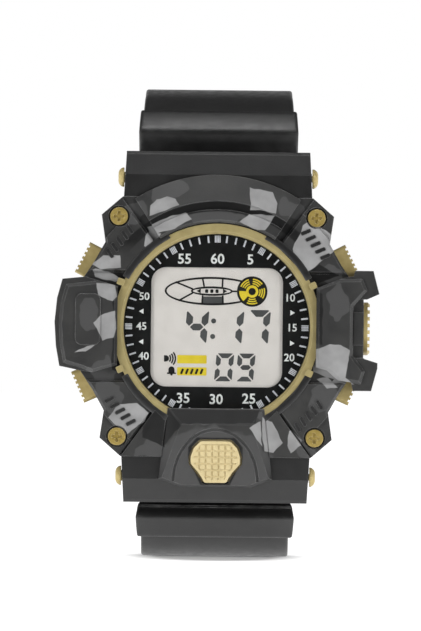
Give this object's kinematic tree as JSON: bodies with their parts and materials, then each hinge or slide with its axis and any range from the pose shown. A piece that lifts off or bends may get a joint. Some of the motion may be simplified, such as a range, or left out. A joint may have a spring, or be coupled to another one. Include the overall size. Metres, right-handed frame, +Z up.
{
  "type": "digital watch",
  "caption": "Rugged resin digital wristwatch, round display, guards and side pushers, strap open and standing on its lower half.",
  "frame": {"origin": "middle of the footprint at the level of the surface the watch stands on", "axes": "+X to the right of the dial, +Y from the dial through the case back, +Z up the dial"},
  "size_m": [0.0532, 0.096, 0.0769],
  "materials": {
    "resin_case": "satin moulded resin with a printed camouflage",
    "gold_metal": "gold plated",
    "gold_plastic": "gold lacquered",
    "strap_resin": "matte soft resin",
    "steel": "brushed",
    "cell_can": "pressed can",
    "lens_clear": "clear mineral glass",
    "dial_black": "printed matte black",
    "display_glass": "liquid crystal panel",
    "seal_rubber": "black rubber",
    "module_plastic": "moulded",
    "board_laminate": "solder mask",
    "chip_black": "moulded",
    "buzzer_brass": "rolled",
    "light_film": "film"
  },
  "bodies": {
    "case": {"case_body": "resin_case", "bezel": "resin_case", "upper_shield": "resin_case", "left_guard": "resin_case", "right_guard": "resin_case", "lower_shield": "resin_case", "bezel_screws": "gold_metal", "upper_pin": "gold_metal", "lower_pin": "gold_metal", "pin_caps": "gold_metal", "inner_ring": "gold_plastic", "case_back": "steel", "back_screws": "steel", "front_button_spring": "steel", "side_button_spring": "steel", "battery_clip": "steel", "button_contacts": "steel", "buzzer_spring": "steel", "quartz_crystal": "steel", "pusher_spring_upper_right": "steel", "pusher_spring_upper_left": "steel", "pusher_spring_lower_right": "steel", "pusher_spring_lower_left": "steel", "battery": "cell_can", "lens": "lens_clear", "dial_plate": "dial_black", "lcd_panel": "display_glass", "lens_gasket": "seal_rubber", "back_gasket": "seal_rubber", "pusher_seals": "seal_rubber", "side_button_seal": "seal_rubber", "module_pad": "seal_rubber", "contact_strips": "seal_rubber", "module_frame": "module_plastic", "battery_holder": "module_plastic", "circuit_board": "board_laminate", "controller_chip": "chip_black", "buzzer_disc": "buzzer_brass", "backlight_panel": "light_film"},
    "upper_strap": {"upper_strap": "strap_resin", "buckle_bar": "steel"},
    "keeper": {"strap_keeper": "strap_resin"},
    "buckle_frame": {"buckle_frame": "steel"},
    "buckle_tongue": {"buckle_tongue": "steel"},
    "lower_strap": {"lower_strap": "strap_resin"},
    "front_button": {"front_button": "gold_plastic"},
    "side_button": {"side_button": "gold_metal", "side_button_clip": "steel"},
    "pusher_upper_right": {"pusher_upper_right": "gold_metal", "pusher_clip_upper_right": "steel"},
    "pusher_upper_left": {"pusher_upper_left": "gold_metal", "pusher_clip_upper_left": "steel"},
    "pusher_lower_right": {"pusher_lower_right": "gold_metal", "pusher_clip_lower_right": "steel"},
    "pusher_lower_left": {"pusher_lower_left": "gold_metal", "pusher_clip_lower_left": "steel"}
  },
  "joints": [
    {"name": "upper_strap_hinge", "type": "hinge", "parent": "case", "child": "upper_strap", "pos_m": [0, -0.03785, 0.06219], "axis": [1, 0, 0], "range_deg": [-8, 10]},
    {"name": "lower_strap_hinge", "type": "hinge", "parent": "case", "child": "lower_strap", "pos_m": [0, -0.03785, 0.01319], "axis": [1, 0, 0], "range_deg": [-10, 5]},
    {"name": "keeper_slide", "type": "slide", "parent": "upper_strap", "child": "keeper", "axis": [0, 0.342, -0.9397], "range_m": [-0.0015, 0.005]},
    {"name": "buckle_hinge", "type": "hinge", "parent": "upper_strap", "child": "buckle_frame", "pos_m": [0, 0.01515, 0.03844], "axis": [1, 0, 0], "range_deg": [-30, 60]},
    {"name": "tongue_hinge", "type": "hinge", "parent": "buckle_frame", "child": "buckle_tongue", "pos_m": [0, 0.01515, 0.03844], "axis": [1, 0, 0], "range_deg": [0, 55]},
    {"name": "front_button_press", "type": "slide", "parent": "case", "child": "front_button", "axis": [0, 1, 0], "range_m": [0, 0.0007], "stiffness_N_per_m": 700, "springref_m": -0.001, "deforming": ["front_button_spring"]},
    {"name": "side_button_press", "type": "slide", "parent": "case", "child": "side_button", "axis": [-1, 0, 0], "range_m": [0, 0.0007], "stiffness_N_per_m": 700, "springref_m": -0.001, "deforming": ["side_button_spring"]},
    {"name": "pusher_press_upper_right", "type": "slide", "parent": "case", "child": "pusher_upper_right", "axis": [-0.891, 0, -0.454], "range_m": [0, 0.0008], "stiffness_N_per_m": 700, "springref_m": -0.001, "deforming": ["pusher_spring_upper_right"]},
    {"name": "pusher_press_upper_left", "type": "slide", "parent": "case", "child": "pusher_upper_left", "axis": [0.891, 0, -0.454], "range_m": [0, 0.0008], "stiffness_N_per_m": 700, "springref_m": -0.001, "deforming": ["pusher_spring_upper_left"]},
    {"name": "pusher_press_lower_right", "type": "slide", "parent": "case", "child": "pusher_lower_right", "axis": [-0.9135, 0, 0.4067], "range_m": [0, 0.0008], "stiffness_N_per_m": 700, "springref_m": -0.001, "deforming": ["pusher_spring_lower_right"]},
    {"name": "pusher_press_lower_left", "type": "slide", "parent": "case", "child": "pusher_lower_left", "axis": [0.9135, 0, 0.4067], "range_m": [0, 0.0008], "stiffness_N_per_m": 700, "springref_m": -0.001, "deforming": ["pusher_spring_lower_left"]}
  ]
}
